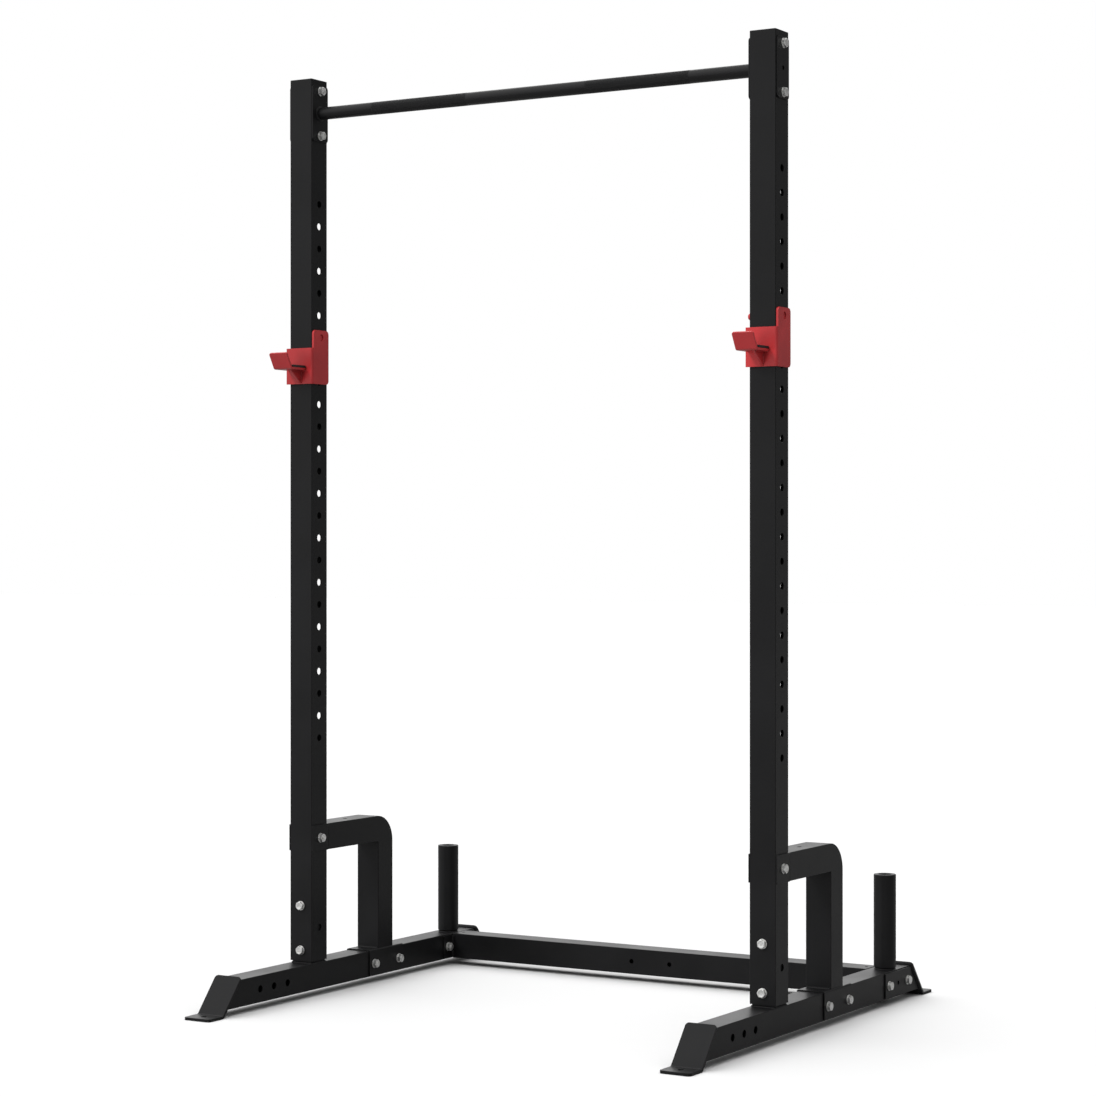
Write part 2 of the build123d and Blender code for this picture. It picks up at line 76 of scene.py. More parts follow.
class Tree:
    """A node tree that starts empty, and a short way to add nodes to it."""

    def __init__(self, owner):
        owner.use_nodes = True
        self.nodes, self.links = owner.node_tree.nodes, owner.node_tree.links
        self.nodes.clear()

    def add(self, kind, sockets=None, **settings):
        node = self.nodes.new("ShaderNode" + kind)
        for name, value in settings.items():
            setattr(node, name, value)
        for name, value in (sockets or {}).items():
            if isinstance(value, bpy.types.NodeSocket):
                self.links.new(value, node.inputs[name])
            else:
                node.inputs[name].default_value = value
        return node

    def math(self, operation, a, b):
        return self.add("Math", {0: a, 1: b}, operation=operation).outputs[0]

    def dot(self, a, b):
        return self.add("VectorMath", {0: a, 1: b}, operation="DOT_PRODUCT").outputs["Value"]

    def mix(self, factor, at_zero, at_one, blend="MIX"):
        """One colour between two."""
        sockets = {"Fac": factor, "Color1": at_zero, "Color2": at_one}
        return self.add("MixRGB", sockets, blend_type=blend).outputs[0]

    def either(self, factor, at_zero, at_one):
        """One shader of two."""
        return self.add("MixShader", {"Fac": factor, 1: at_zero, 2: at_one}).outputs[0]

    def span(self, value, low, high, at_low, at_high, smooth=True):
        """value from low to high becomes at_low to at_high."""
        sockets = {"Value": value, "From Min": low, "From Max": high, "To Min": at_low, "To Max": at_high}
        kind = "SMOOTHSTEP" if smooth else "LINEAR"
        return self.add("MapRange", sockets, interpolation_type=kind).outputs["Result"]


WHITE = (1, 1, 1, 1)
WORLD_LOBES = [  # direction, the cosines where it starts and is full, and its brightness
    ((-0.60, -0.80, 0.05), 0.15, 0.90, 0.90),
    ((-0.54, 0.80, 0.45), 0.78, 0.985, 1.40),
    ((0.00, 0.00, 1.00), 0.30, 0.95, 0.80),
]
WORLD_BASE = 0.20
DOME_RIM, DOME_TOP = 0.15, 1.25
DOME_STARTS, DOME_FULL = 0.2, 0.9


def make_world():
    """A studio that looks white. It lights matt surfaces from overhead, and what glossy ones
    mirror is three soft lobes: at the front left, high at the back left and overhead.
    """
    world = bpy.data.worlds.new("studio")
    scene.world = world
    tree = Tree(world)
    toward = tree.add("TexCoord").outputs["Generated"]
    total = WORLD_BASE
    for direction, start, full, brightness in WORLD_LOBES:
        facing = tree.dot(toward, Vector(direction).normalized())
        lobe = tree.span(facing, start, full, 0.0, brightness)
        total = tree.math("ADD", total, lobe)
    sky = tree.span(tree.dot(toward, Z), DOME_STARTS, DOME_FULL, DOME_RIM, DOME_TOP)
    mirrored = tree.add("Background", {"Color": WHITE, "Strength": total}).outputs[0]
    dome = tree.add("Background", {"Color": WHITE, "Strength": sky}).outputs[0]
    seen = tree.add("Background", {"Color": WHITE, "Strength": 1.0}).outputs[0]
    path = tree.add("LightPath").outputs
    lit = tree.either(path["Is Diffuse Ray"], mirrored, dome)
    tree.add("OutputWorld", {"Surface": tree.either(path["Is Camera Ray"], lit, seen)})
    world.cycles.sampling_method = "NONE"


def make_sky_lamp(name, toward, spread, strength, aside=()):
    """A lamp so large and far that it lights everything alike, with soft shadows and no glare.

    Its light neither falls on the things aside nor is held back by them.
    """
    data = bpy.data.lights.new(name, "SUN")
    data.angle = math.radians(spread)
    data.energy = strength
    lamp = bpy.data.objects.new(name, data)
    scene.collection.objects.link(lamp)
    lamp.rotation_euler = Vector(toward).to_track_quat("Z", "Y").to_euler()
    lamp.visible_glossy = False
    if aside:
        left_out = bpy.data.collections.new(name + "_left_out")
        for thing in aside:
            left_out.objects.link(thing)
        for entry in left_out.collection_objects:
            entry.light_linking.link_state = "EXCLUDE"
        lamp.light_linking.receiver_collection = left_out
        lamp.light_linking.blocker_collection = left_out


FLOOR_REACH = 40.0
FLOOR_TONES = (0.84, 0.84, 0.84, 1), (0.86, 0.86, 0.86, 1)
FLOOR_BOUNCE = (0.34, 0.34, 0.34, 1)


def make_floor():
    """A wide pale floor. It gives less light back to the object than a white floor would."""
    mesh = bpy.data.meshes.new("floor")
    corners = [(FLOOR_REACH * x, FLOOR_REACH * y, 0) for x, y in ((-1, -1), (1, -1), (1, 1), (-1, 1))]
    mesh.from_pydata(corners, [], [(0, 1, 2, 3)])
    floor = bpy.data.objects.new("floor", mesh)
    scene.collection.objects.link(floor)
    material = bpy.data.materials.new("floor")
    tree = Tree(material)
    grain = tree.add("TexNoise", {"Scale": 3.0, "Detail": 2.0}).outputs["Fac"]
    seen = tree.add("BsdfDiffuse", {"Color": tree.mix(grain, *FLOOR_TONES)}).outputs[0]
    bounce = tree.add("BsdfDiffuse", {"Color": FLOOR_BOUNCE}).outputs[0]
    path = tree.add("LightPath").outputs
    tree.add("OutputMaterial", {"Surface": tree.either(path["Is Camera Ray"], bounce, seen)})
    mesh.materials.append(material)
    return floor


scene.view_settings.view_transform = "Standard"
make_camera()
make_world()
floor = make_floor()
make_sky_lamp("overhead", (-0.55, 0.05, 1.0), 90.0, 1.32)
make_sky_lamp("front_left", (-0.45, -0.80, 0.75), 14.0, 1.9, aside=[floor])
make_sky_lamp("front_low", (-0.38, -0.92, -0.12), 20.0, 0.90, aside=[floor])
make_sky_lamp("right_back", (0.85, 0.35, 0.45), 40.0, 0.35, aside=[floor])


# ---------------------------------------------------------------- materials

NOISE = 0.3, 0.7  # the values that noise mostly keeps to


def toned(colour, factor, lift=0.0):
    """A colour made lighter or darker, with its alpha."""
    return (*(min(1.0, c * factor + lift) for c in colour), 1)


def powder_coat(name, colour, roughness, ior, grain):
    """Baked powder paint: an even colour, a slight orange peel and a fine sandy grain."""
    material = bpy.data.materials.new(name)
    tree = Tree(material)
    place = tree.add("TexCoord").outputs["Object"]
    cloud = tree.add("TexNoise", {"Vector": place, "Scale": 7.0, "Detail": 3.0}).outputs["Fac"]
    peel = tree.add("TexNoise", {"Vector": place, "Scale": 330.0, "Detail": 1.0}).outputs["Fac"]
    fine = {"Vector": place, "Scale": 1500.0, "Detail": 2.0, "Roughness": 0.6}
    sand = tree.add("TexNoise", fine).outputs["Fac"]
    patches = tree.span(cloud, *NOISE, 0, 1)
    patchy = tree.mix(patches, toned(colour, 0.88), toned(colour, 1.18, 0.0008))
    specks = tree.span(sand, 0.62, 0.78, 0.0, 0.35)
    speckled = tree.mix(specks, patchy, toned(colour, 1.5, 0.004))
    rough = tree.math("ADD", tree.span(cloud, *NOISE, roughness - 0.03, roughness + 0.03),
                      tree.span(sand, *NOISE, -0.03, 0.03, smooth=False))
    waves = tree.add("Bump", {"Height": peel, "Strength": 0.25, "Distance": 0.10 * MM}).outputs[0]
    grains = tree.add("Bump", {"Height": sand, "Strength": grain, "Distance": 0.05 * MM, "Normal": waves})
    paint = tree.add("BsdfPrincipled", {"Base Color": speckled, "Roughness": rough, "IOR": ior,
                                        "Normal": grains.outputs[0]})
    tree.add("OutputMaterial", {"Surface": paint.outputs[0]})
    return material


def zinc(name):
    """Bright zinc plate: small crystals, a fine grain and duller patches."""
    material = bpy.data.materials.new(name)
    tree = Tree(material)
    place = tree.add("TexCoord").outputs["Object"]
    patch = tree.add("TexNoise", {"Vector": place, "Scale": 160.0, "Detail": 3.0}).outputs["Fac"]
    grain = tree.add("TexNoise", {"Vector": place, "Scale": 2600.0, "Detail": 2.0}).outputs["Fac"]
    crystal = tree.add("TexVoronoi", {"Vector": place, "Scale": 900.0}, feature="F1").outputs["Color"]
    dull, bright = (0.72, 0.72, 0.70, 1), (0.88, 0.88, 0.87, 1)
    tint = tree.mix(tree.span(patch, 0.35, 0.65, 0, 1), dull, bright)
    spangle = tree.mix(0.08, tint, crystal, blend="MULTIPLY")
    rough = tree.math("ADD", tree.span(patch, *NOISE, 0.28, 0.42),
                      tree.span(grain, *NOISE, -0.04, 0.04, smooth=False))
    bump = tree.add("Bump", {"Height": grain, "Strength": 0.2, "Distance": 0.03 * MM}).outputs[0]
    metal = tree.add("BsdfPrincipled", {"Base Color": spangle, "Metallic": 0.85, "Roughness": rough,
                                        "Normal": bump})
    tree.add("OutputMaterial", {"Surface": metal.outputs[0]})
    return material


def moulded_plastic(name, colour, roughness, grain):
    """Moulded polymer with the leathery grain of an etched mould."""
    material = bpy.data.materials.new(name)
    tree = Tree(material)
    place = tree.add("TexCoord").outputs["Object"]
    leather = tree.add("TexVoronoi", {"Vector": place, "Scale": 1100.0}, feature="SMOOTH_F1")
    cells = leather.outputs["Distance"]
    cloud = tree.add("TexNoise", {"Vector": place, "Scale": 40.0, "Detail": 3.0}).outputs["Fac"]
    tone = tree.mix(tree.span(cloud, *NOISE, 0, 1), (*colour, 1), toned(colour, 1.35, 0.001))
    rough = tree.math("ADD", tree.span(cloud, *NOISE, roughness - 0.05, roughness + 0.05),
                      tree.span(cells, 0.0, 0.8, -0.04, 0.04, smooth=False))
    bump = tree.add("Bump", {"Height": cells, "Strength": grain, "Distance": 0.06 * MM}).outputs[0]
    body = tree.add("BsdfPrincipled", {"Base Color": tone, "Roughness": rough, "IOR": 1.36, "Normal": bump})
    tree.add("OutputMaterial", {"Surface": body.outputs[0]})
    return material


MATERIALS = {
    "black_powder_coat": powder_coat("black_powder_coat", (0.0050, 0.0050, 0.0054), 0.42, 1.30, 0.5),
    "bar_coat": powder_coat("bar_coat", (0.0050, 0.0050, 0.0054), 0.38, 1.34, 0.35),
    "red_powder_coat": powder_coat("red_powder_coat", (0.41, 0.026, 0.029), 0.38, 1.48, 0.35),
    "zinc_fasteners": zinc("zinc_fasteners"),
    "black_plastic": moulded_plastic("black_plastic", (0.010, 0.010, 0.0105), 0.50, 0.6),
    "seat_pad": moulded_plastic("seat_pad", (0.014, 0.0138, 0.014), 0.55, 0.8),
}


# ---------------------------------------------------------------- shapes


class Shape:
    """Closed skins collected into one mesh."""

    def __init__(self):
        self.points, self.faces = [], []

    def skin(self, rings, loop=False, diagonals=None):
        """Join rings of equally many points. The ends are capped, or joined to each other in a loop.

        Where diagonals(i) is true, ring i is joined to the next by triangles that alternate.
        """
        first, count = len(self.points), len(rings[0])
        for ring in rings:
            self.points.extend(ring)
        spans = len(rings) if loop else len(rings) - 1
        for i in range(spans):
            here, there = first + i * count, first + (i + 1) % len(rings) * count
            for j in range(count):
                k = (j + 1) % count
                a, b, c, d = here + j, here + k, there + k, there + j
                if diagonals is None or not diagonals(i):
                    self.faces.append((a, b, c, d))
                elif (i + j) % 2:
                    self.faces += [(a, b, d), (b, c, d)]
                else:
                    self.faces += [(a, b, c), (a, c, d)]
        if not loop:
            self.faces.append(tuple(range(first + count - 1, first - 1, -1)))
            last = first + (len(rings) - 1) * count
            self.faces.append(tuple(range(last, last + count)))

    def piece(self, name, slot, replaces=(), body="frame", sharp=32.0):
        """Make the mesh an object that rides on a body, in the slot's material."""
        mesh = bpy.data.meshes.new(name)
        mesh.from_pydata([tuple(p) for p in self.points], [], self.faces)
        edit = bmesh.new()
        edit.from_mesh(mesh)
        bmesh.ops.recalc_face_normals(edit, faces=edit.faces)
        edit.to_mesh(mesh)
        edit.free()
        mesh.shade_smooth()
        mesh.set_sharp_from_angle(angle=math.radians(sharp))
        mesh.materials.append(MATERIALS[slot])
        piece = bpy.data.objects.new(name, mesh)
        scene.collection.objects.link(piece)
        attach(piece, body)
        if replaces:
            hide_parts(*replaces)


def circle(origin, axis, radius, height, count, turn=0.0):
    """A ring about an axis. radius and height are numbers, or functions of the angle."""
    axis = Vector(axis).normalized()
    side = (Z if abs(axis.z) < 0.9 else X).cross(axis).normalized()
    other = axis.cross(side)
    ring = []
    for j in range(count):
        angle = TAU * j / count
        r = radius(angle) if callable(radius) else radius
        h = height(angle) if callable(height) else height
        spoke = side * math.cos(angle + turn) + other * math.sin(angle + turn)
        ring.append(origin + axis * h + spoke * r)
    return ring


def turned(origin, axis, profile, count, turn=0.0):
    """Rings of a turned shape from (radius, height) pairs in millimetres."""
    return [circle(origin, axis, scaled(r), scaled(h), count, turn) for r, h in profile]


def scaled(value):
    """Millimetres in metres, for a number or a function of the angle."""
    return (lambda angle: value(angle) * MM) if callable(value) else value * MM


def arc(centre, radius, start, end, steps):
    """Points of a fillet in a profile, in degrees."""
    points = []
    for k in range(steps + 1):
        angle = math.radians(start + (end - start) * k / steps)
        points.append((centre[0] + radius * math.cos(angle), centre[1] + radius * math.sin(angle)))
    return points


SAME_POINT = 0.001 * MM


def solids(node):
    """The boxes of a CAD node's separate solids, as (lowest corner, highest corner)."""
    edit = bmesh.new()
    edit.from_mesh(frame["nodes"][node].data)
    bmesh.ops.remove_doubles(edit, verts=edit.verts, dist=SAME_POINT)
    unseen, boxes = set(edit.verts), []
    for start in edit.verts:
        if start not in unseen:
            continue
        unseen.discard(start)
        group, heap = [], [start]
        while heap:
            vert = heap.pop()
            group.append(vert.co.copy())
            for edge in vert.link_edges:
                far = edge.other_vert(vert)
                if far in unseen:
                    unseen.discard(far)
                    heap.append(far)
        low = Vector([min(co[k] for co in group) for k in range(3)])
        high = Vector([max(co[k] for co in group) for k in range(3)])
        boxes.append((low, high))
    edit.free()
    return sorted(boxes, key=lambda pair: tuple(round(v, 5) for v in pair[0]))


# ---------------------------------------------------------------- CAD nodes that stay

FLAT_ENOUGH, SHARP = 0.5, 40


def round_edges(node, width):
    """Round a node's sharp edges a little, as sheared and coated steel is."""
    join = node.modifiers.new("join", "WELD")
    join.merge_threshold = SAME_POINT
    flat = node.modifiers.new("flat", "DECIMATE")
    flat.decimate_type = "DISSOLVE"
    flat.angle_limit = math.radians(FLAT_ENOUGH)
    edge = node.modifiers.new("edge", "BEVEL")
    edge.width = width
    edge.segments = 2
    edge.limit_method = "ANGLE"
    edge.angle_limit = math.radians(SHARP)
    shade = node.modifiers.new("shade", "WEIGHTED_NORMAL")
    shade.keep_sharp = True


PLATE_EDGE = 0.6
EDGE_WIDTHS = {  # for names that start like this; the last that fits counts
    "upright_": 0.35, "runner_": 0.35, "rear_crossmember": 0.35, "brace_left": 0.35, "brace_right": 0.35,
    "plate_post_": 0.4, "hook_": 0.7, "hook_pad": 1.0,
}
SLOTS = {part["node"]: part["material_slot"] for part in frame["record"]["subparts"]}


def dress_nodes():
    """Rounded edges and a material for every CAD node."""
    for name, node in frame["nodes"].items():
        width = PLATE_EDGE
        for start, special in EDGE_WIDTHS.items():
            if name.startswith(start):
                width = special
        round_edges(node, width * MM)
        node.data.materials.clear()
        node.data.materials.append(MATERIALS[SLOTS[name]])


# ---------------------------------------------------------------- fasteners

FLATS, HEAD, SHANK_R = 17.0, 6.4, 5.0
THREAD_LENGTH, THREAD_PITCH, THREAD_DEPTH, THREAD_STEP = 10.0, 1.5, 0.75, 0.25
CHAMFER = 28
BOLT_TURNS, NUT_TURNS = (17, 23), (8, 31)  # degrees for the first one, and more for each next
AROUND = 48


def hexagon(angle):
    """Distance from the middle to the hexagon's side at this angle."""
    return FLATS / 2 / math.cos((angle % (TAU / 6)) - TAU / 12)


def hex_edge(face, sign, circle_r):
    """Height where the chamfer of a hexagon's end meets its sides."""
    return lambda angle: face + sign * (hexagon(angle) - circle_r) * math.tan(math.radians(CHAMFER))


def make_bolt(shape, under_head, axis, length, turn):
    """Forged hexagon head with a washer face, plain shank, and rolled thread at the end."""
    crown, washer_face = FLATS / 2 * 0.93, FLATS / 2 * 0.95
    dish = -HEAD + 0.25
    profile = [(2.0, dish), (5.6, dish), (6.4, -HEAD), (crown, -HEAD)]
    profile += [(hexagon, hex_edge(-HEAD, 1, crown)), (hexagon, -0.55)]
    profile += [(washer_face, -0.45), (washer_face, 0.0), (SHANK_R + 0.4, 0.0)]
    profile += [(SHANK_R, 0.4), (SHANK_R, length - THREAD_LENGTH)]
    for k in range(1, int(THREAD_LENGTH / THREAD_STEP)):
        height = length - THREAD_LENGTH + k * THREAD_STEP
        fade = min(1.0, k / 8, (length - height) / 1.2 + 0.25)
        profile.append((thread_radius(height, fade), height))
    profile += [(SHANK_R - 1.0, length - 0.2), (SHANK_R - 1.6, length)]
    shape.skin(turned(under_head, axis, profile, AROUND, turn))


def thread_radius(height, fade):
    """The radius of a helical thread at this height, as a function of the angle."""
    def radius(angle):
        phase = (height / THREAD_PITCH - angle / TAU) % 1.0
        return SHANK_R - THREAD_DEPTH * fade * abs(2 * phase - 1)
    return radius


def make_washer(shape, low, axis, thickness, outer, inner):
    """A punched washer with four rounded edges."""
    edge = 0.35
    profile = arc((outer - edge, thickness - edge), edge, 90, 0, 3)
    profile += arc((outer - edge, edge), edge, 0, -90, 3)
    profile += arc((inner + edge, edge), edge, 270, 180, 3)
    profile += arc((inner + edge, thickness - edge), edge, 180, 90, 3)
    shape.skin(turned(low, axis, profile, AROUND), loop=True)


def make_nut(shape, low, axis, height, turn):
    """A hexagon nut with both faces and both ends of its bore chamfered."""
    crown, bore, mouth = FLATS / 2 * 0.94, SHANK_R + 0.08, 0.7
    profile = [(bore, mouth), (bore + mouth, 0.0), (crown, 0.0), (hexagon, hex_edge(0.0, 1, crown))]
    profile += [(hexagon, hex_edge(height, -1, crown)), (crown, height)]
    profile += [(bore + mouth, height), (bore, height - mouth)]
    shape.skin(turned(low, axis, profile, AROUND, turn), loop=True)


def turn_of(index, turns):
    return math.radians(turns[0] + turns[1] * index)


def make_fasteners():
    """Every joint's bolts, nuts and washers, in place of its CAD nodes. No two heads are turned alike."""
    for joint in ("upright", "bracket", "saddle", "crossmember", "bar"):
        along = 1 if joint == "upright" else 0
        bolts, nuts, washers = Shape(), Shape(), Shape()
        for index, (low, high) in enumerate(solids(joint + "_bolts")):
            middle = (low + high) / 2
            inward = Y if along else X * (-1 if middle.x > 0 else 1)
            outer_end = middle.copy()
            outer_end[along] = low[along] if inward[along] > 0 else high[along]
            grip = (high - low)[along] / MM - HEAD
            under_head = outer_end + inward * HEAD * MM
            make_bolt(bolts, under_head, inward, grip, turn_of(index, BOLT_TURNS))
        for index, (low, high) in enumerate(solids(joint + "_nuts")):
            base = (low + high) / 2
            base[along] = low[along]
            axis = Y if along else X
            make_nut(nuts, base, axis, (high - low)[along] / MM, turn_of(index, NUT_TURNS))
        for low, high in solids(joint + "_washers"):
            base = (low + high) / 2
            base[along] = low[along]
            size = (high - low) / MM
            make_washer(washers, base, Y if along else X, size[along], size.z / 2, SHANK_R + 0.25)
        for shape, kind in ((bolts, "bolts"), (nuts, "nuts"), (washers, "washers")):
            node = f"{joint}_{kind}"
            shape.piece(node + "_detail", "zinc_fasteners", [node], sharp=25)


# ---------------------------------------------------------------- pull-up bar

GRIP_FROM, GRIP_TO = 152.0, 406.0
KNURL_PITCH, KNURL_HEIGHT, KNURL_SUNK, KNURL_MARGIN = 1.6, 0.34, 0.2, 0.6
BAR_WALL, END_BAND, GRIP_BAND = 3.0, 30.0, 40.0


def make_bar():
    """Round tube with a diamond knurl on each grip."""
    low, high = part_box("pull_up_bar")
    radius = (high.z - low.z) / 2 / MM
    reach = (high.x - low.x) / 2 / MM
    count = 2 * round(TAU * radius / KNURL_PITCH)
    step = KNURL_PITCH / 2
    rows = 2 * int((GRIP_TO - GRIP_FROM) / KNURL_PITCH)
    centre = Vector((0, (low.y + high.y) / 2, (low.z + high.z) / 2))
    rings, knurled = [], set()

    def plain(x, r=radius):
        rings.append(circle(centre, X, r * MM, x * MM, count))

    def knurl(start):
        plain(start - KNURL_MARGIN)
        for i in range(rows + 1):
            knurled.add(len(rings))
            ring = circle(centre, X, 1.0, (start + i * step) * MM, count)
            for j, point in enumerate(ring):
                tip = (len(rings) + j) % 2
                height = radius - KNURL_SUNK + (KNURL_HEIGHT if tip else 0.0)
                if i in (0, rows):
                    height = radius - KNURL_SUNK / 2
                middle = Vector((point.x, centre.y, centre.z))
                ring[j] = middle + (point - middle) * height * MM
            rings.append(ring)
        plain(start + rows * step + KNURL_MARGIN)

    for x in (-reach, -reach + END_BAND, -GRIP_TO - GRIP_BAND):
        plain(x)
    knurl(-GRIP_FROM - rows * step)
    plain(0)
    knurl(GRIP_FROM)
    for x in (GRIP_TO + GRIP_BAND, reach - END_BAND, reach):
        plain(x)
    for x in (reach, -reach):
        plain(x, radius - BAR_WALL)
    shape = Shape()
    shape.skin(rings, loop=True, diagonals=lambda i: i in knurled)
    shape.piece("pull_up_bar_knurled", "bar_coat", ["pull_up_bar"], sharp=12)


# ---------------------------------------------------------------- plastic caps

CAP_LID, CAP_CORNER, RIBS = 2.0, 1.5, 4
WELL_R, WELL_FLOOR = 15.0, -14.4
POST_CAP_AROUND = 72


def square_ring(centre, half, corner, z, steps=4):
    """A square with round corners, level, with its points in millimetres about the centre."""
    ring = []
    for k in range(4):
        middle = max(0.0, half - corner)
        for i in range(steps + 1):
            angle = math.radians(90 * i / steps)
            x, y = middle + corner * math.cos(angle), middle + corner * math.sin(angle)
            for _ in range(k):
                x, y = -y, x
            ring.append(centre + Vector((x, y, z)) * MM)
    return ring


def make_upright_cap(side):
    """Moulded plug: slightly domed lid with rounded edges, a skirt with sealing ribs."""
    low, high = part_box(f"upright_cap_{side}")
    centre = Vector(((low.x + high.x) / 2, (low.y + high.y) / 2, high.z))
    half, depth = (high.x - low.x) / 2 / MM, (high.z - low.z) / MM
    rings = []
    for k in (0.12, 0.4, 0.65, 0.85):
        rings.append(square_ring(centre, half * k, max(0.6, 2.4 * k), -0.35 * k ** 3))
    for inset, z in ((1.3, -0.45), (0.75, -0.6), (0.3, -0.9), (0.05, -1.3), (0.0, -CAP_LID)):
        rings.append(square_ring(centre, half - inset, CAP_CORNER, z))
    skirt = half - 2.7
    rings.append(square_ring(centre, skirt - 0.6, CAP_CORNER, -CAP_LID))
    for k in range(RIBS):
        z = -CAP_LID - 1.5 - 3.0 * k
        for drop, out in ((0.0, -0.6), (0.6, 0.0), (1.0, 0.0), (1.8, -0.6)):
            rings.append(square_ring(centre, skirt + out, CAP_CORNER, z - drop))
    rings.append(square_ring(centre, skirt - 0.8, CAP_CORNER, -depth))
    inner, inner_corner = skirt - 2.6, 0.8
    for z in (-depth, -CAP_LID - 0.4):
        rings.append(square_ring(centre, inner, inner_corner, z))
    shape = Shape()
    shape.skin(rings)
    shape.piece(f"upright_cap_{side}_moulded", "black_plastic", [f"upright_cap_{side}"])


def make_post_cap(side):
    """Moulded cap of a plate post: rounded rim, round well with a gate mark in its floor, ribbed skirt."""
    low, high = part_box(f"plate_post_cap_{side}")
    centre = Vector(((low.x + high.x) / 2, (low.y + high.y) / 2, high.z))
    r, depth = (high.x - low.x) / 2 / MM, (high.z - low.z) / MM
    profile = [(0.6, -13.6), (1.6, -13.7), (2.0, WELL_FLOOR), (WELL_R - 2.6, WELL_FLOOR)]
    profile += arc((WELL_R - 2.0, WELL_FLOOR + 1.5), 1.5, -90, 0, 4)
    profile += [(WELL_R - 0.1, -1.0)] + arc((WELL_R + 0.9, -0.9), 0.9, 180, 90, 4)
    profile += [(r - 4.2, 0.0)] + arc((r - 1.2, -1.2), 1.2, 90, 0, 5)
    profile += [(r, -1.9), (r - 0.3, -2.0), (r - 2.9, -2.0)]
    for k in range(RIBS):
        z = -3.4 - 3.2 * k
        profile += [(r - 3.2, z), (r - 2.7, z - 0.6), (r - 2.7, z - 1.0), (r - 3.2, z - 1.9)]
    profile += [(r - 3.4, -depth), (1.0, -depth)]
    shape = Shape()
    shape.skin(turned(centre, Z, profile, POST_CAP_AROUND))
    shape.piece(f"plate_post_cap_{side}_moulded", "black_plastic", [f"plate_post_cap_{side}"])


# ---------------------------------------------------------------- weld beads

BEAD_STEP, BEAD_PITCH, BEAD_POINTS, BEAD_CURVE = 0.55, 1.9, 6, 0.42
BEAD_THIN, BEAD_TAPER = 0.45, 2.2
TUBE_CORNER, FOOT_SLOPE = 1.5, 50
ROOT_SUNK, TOE_SUNK = 0.3, 0.15
LEGS = {  # how far each fillet reaches along its plates
    "foot": 3.2, "stub": 2.7, "post": 2.9, "brace foot": 3.0, "brace side": 2.2, "crossmember": 3.2,
    "bar": 3.2, "hook seat": 2.3, "gusset level": 1.6, "gusset upright": 1.0,
}


def resample(path, loop):
    """Points along a path of (point, along one plate, along the other), at an even step."""
    stops = path + [path[0]] if loop else path
    out = []
    for (p, u, v), (q, s, t) in zip(stops, stops[1:]):
        steps = max(1, round((q - p).length / (BEAD_STEP * MM)))
        for k in range(steps):
            f = k / steps
            out.append((p.lerp(q, f), u.lerp(s, f).normalized(), v.lerp(t, f).normalized()))
    if not loop:
        out.append(stops[-1])
    return out


def make_bead(shape, path, leg, loop=False):
    """A fillet weld with its overlapping ripples, in the corner that the path follows.

    Its size wanders a little along the way, and an open bead starts and ends thin. The ripples are
    curved, because their phase shifts towards the middle of the face.
    """
    path = resample(path, loop)
    travelled, rings = 0.0, []
    total = sum((b[0] - a[0]).length for a, b in zip(path, path[1:])) / MM
    pitches = max(1, round(total / BEAD_PITCH))
    for i, (point, u, v) in enumerate(path):
        if i:
            travelled += (point - path[i - 1][0]).length / MM
        wander = 0.05 * math.sin(travelled * 0.31 + 1.7) + 0.04 * math.sin(travelled * 0.83)
        end = 1.0 if loop else min(1.0, BEAD_THIN + min(travelled, total - travelled) / BEAD_TAPER)
        ring = [point - (u + v) * ROOT_SUNK * MM]
        for k in range(BEAD_POINTS):
            t = k / (BEAD_POINTS - 1)
            middle = 4 * t * (1 - t)
            phase = travelled / total * pitches + BEAD_CURVE * middle
            ripple = abs(math.sin(math.pi * phase))
            size = leg * end * (1 + wander)
            swell = size * middle * (0.13 + 0.07 * ripple)
            reach = size * (0.97 + 0.05 * ripple)
            spot = point + (u * (1 - t) + v * t) * reach * MM + (u + v).normalized() * swell * MM
            if k == 0:
                spot -= v * TOE_SUNK * MM
            if k == BEAD_POINTS - 1:
                spot -= u * TOE_SUNK * MM
            ring.append(spot)
        rings.append(ring)
    shape.skin(rings, loop=loop)


def ring_path(centre, axis, radius, up, count=64):
    """The foot of a round bar on a plate."""
    points = circle(centre, axis, radius, 0.0, count)
    return [(p, (p - centre).normalized(), up) for p in points]


def square_path(centre, half, corner, across, upward, normal, steps=5):
    """The foot of a square tube on a plate whose plane holds across and upward."""
    path = []
    for k in range(4):
        turn = k * TAU / 4
        diagonal = Vector((math.cos(turn + TAU / 8), math.sin(turn + TAU / 8)))
        mid = diagonal * (half - corner) * math.sqrt(2)
        for i in range(steps + 1):
            angle = turn + TAU / 4 * i / steps
            a, b = mid.x + corner * math.cos(angle), mid.y + corner * math.sin(angle)
            out = across * math.cos(angle) + upward * math.sin(angle)
            path.append((centre + across * a + upward * b, out.normalized(), normal))
    return path


def foot_welds(shape, side):
    """The runner's cut ends, all round, on the sloping backs of the feet."""
    low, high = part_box(f"runner_{side}")
    slope = math.radians(FOOT_SLOPE)
    half = (high.x - low.x) / 2
    centre_x, middle_z = (low.x + high.x) / 2, (low.z + high.z) / 2
    for end in (-1, 1):
        y = (low.y if end < 0 else high.y) - end * half / math.tan(slope)
        rise = Vector((0, -end * math.cos(slope), math.sin(slope)))
        stretched = rise / math.sin(slope)
        path = []
        for point, out, along in square_path(Vector((0, 0, 0)), half, TUBE_CORNER * MM, X, Z, Y * -end):
            place = Vector((centre_x, y, middle_z)) + X * point.x + stretched * point.z
            path.append((place, (X * out.x + rise * out.z).normalized(), along))
        make_bead(shape, path, LEGS["foot"], loop=True)


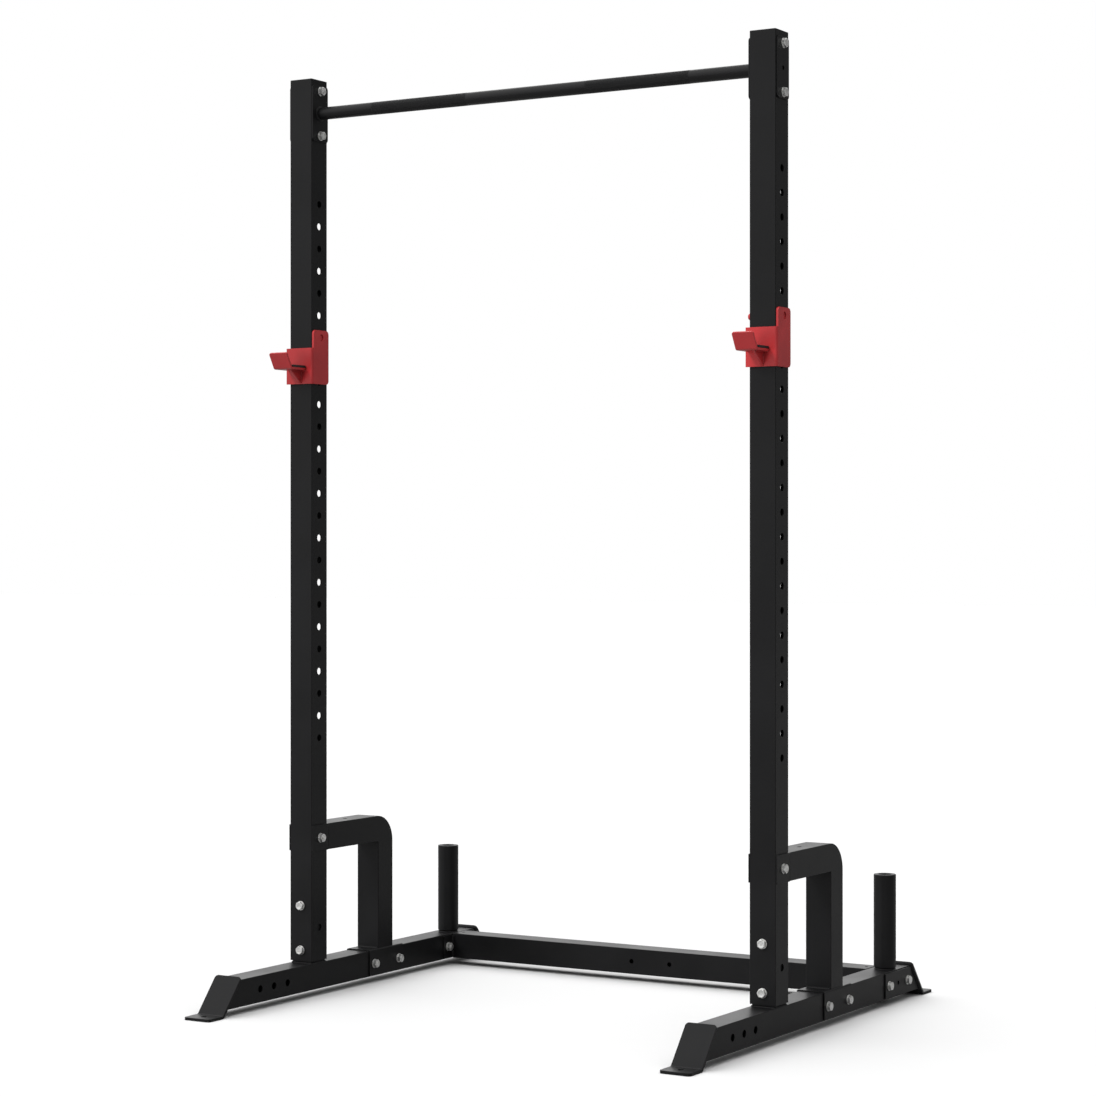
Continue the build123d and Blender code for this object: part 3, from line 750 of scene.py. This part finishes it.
def frame_welds(side):
    """All welds of one side of the frame, as one piece."""
    sign = SIDES[side]
    shape = Shape()
    foot_welds(shape, side)

    low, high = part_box(f"upright_stub_{side}")
    stub = Vector(((low.x + high.x) / 2, (low.y + high.y) / 2, low.z))
    foot = square_path(stub, (high.x - low.x) / 2, TUBE_CORNER * MM, X, Y, Z)
    make_bead(shape, foot, LEGS["stub"], loop=True)

    low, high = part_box(f"plate_post_stub_{side}")
    post = Vector(((low.x + high.x) / 2, (low.y + high.y) / 2, low.z))
    make_bead(shape, ring_path(post, Z, (high.x - low.x) / 2, Z), LEGS["post"], loop=True)

    low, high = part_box(f"brace_{side}")
    half = (high.x - low.x) / 2
    centre_x = (low.x + high.x) / 2
    inset = 2.0 * MM
    for y, out in ((high.y, Y), (high.y - 2 * half, -Y)):
        ends = [Vector((centre_x + k * (half - inset), y, low.z)) for k in (-1, 1)]
        make_bead(shape, [(p, out, Z) for p in ends], LEGS["brace foot"])
    heights = high.z - 2 * half + inset, high.z - inset
    for k in (-1, 1):
        ends = [Vector((centre_x + k * half, low.y, z)) for z in heights]
        make_bead(shape, [(p, X * k, Y) for p in ends], LEGS["brace side"])

    low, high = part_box("rear_crossmember")
    plate_low, plate_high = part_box(f"crossmember_end_plate_{side}")
    x = sign * high.x
    for y, out in ((low.y, -Y), (high.y, Y)):
        ends = [Vector((x, y, z)) for z in (plate_low.z + inset, plate_high.z - inset)]
        make_bead(shape, [(p, out, X * -sign) for p in ends], LEGS["crossmember"])

    low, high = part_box("pull_up_bar")
    end = Vector((sign * high.x, (low.y + high.y) / 2, (low.z + high.z) / 2))
    make_bead(shape, ring_path(end, X, (high.z - low.z) / 2, X * -sign), LEGS["bar"], loop=True)
    shape.piece(f"frame_welds_{side}", "black_powder_coat", sharp=60)


def hook_welds(side):
    """Seat to front plate, and gusset to both, but not at its two thin tips."""
    shape = Shape()
    seat_low, seat_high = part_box(f"hook_seat_{side}")
    gusset_low, gusset_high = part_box(f"hook_gusset_{side}")
    root, under = gusset_high.y, gusset_high.z
    inset, front_tip, low_tip = 1.0 * MM, 5.0 * MM, 4.0 * MM
    for low_x, high_x in ((seat_low.x, gusset_low.x), (gusset_high.x, seat_high.x)):
        ends = [Vector((x, root, under)) for x in (low_x + inset, high_x - inset)]
        make_bead(shape, [(p, -Z, -Y) for p in ends], LEGS["hook seat"])
    for x, out in ((gusset_low.x, -X), (gusset_high.x, X)):
        level = [Vector((x, y, under)) for y in (gusset_low.y + front_tip, root - inset)]
        make_bead(shape, [(p, out, -Z) for p in level], LEGS["gusset level"])
        upright = [Vector((x, root, z)) for z in (gusset_low.z + low_tip, under - inset)]
        make_bead(shape, [(p, out, -Y) for p in upright], LEGS["gusset upright"])
    shape.piece(f"hook_welds_{side}", "red_powder_coat", body=f"hook_{side}", sharp=60)


# ---------------------------------------------------------------- everything

dress_nodes()
make_fasteners()
make_bar()
for side in SIDES:
    make_upright_cap(side)
    make_post_cap(side)
    frame_welds(side)
    hook_welds(side)

bpy.context.view_layer.update()
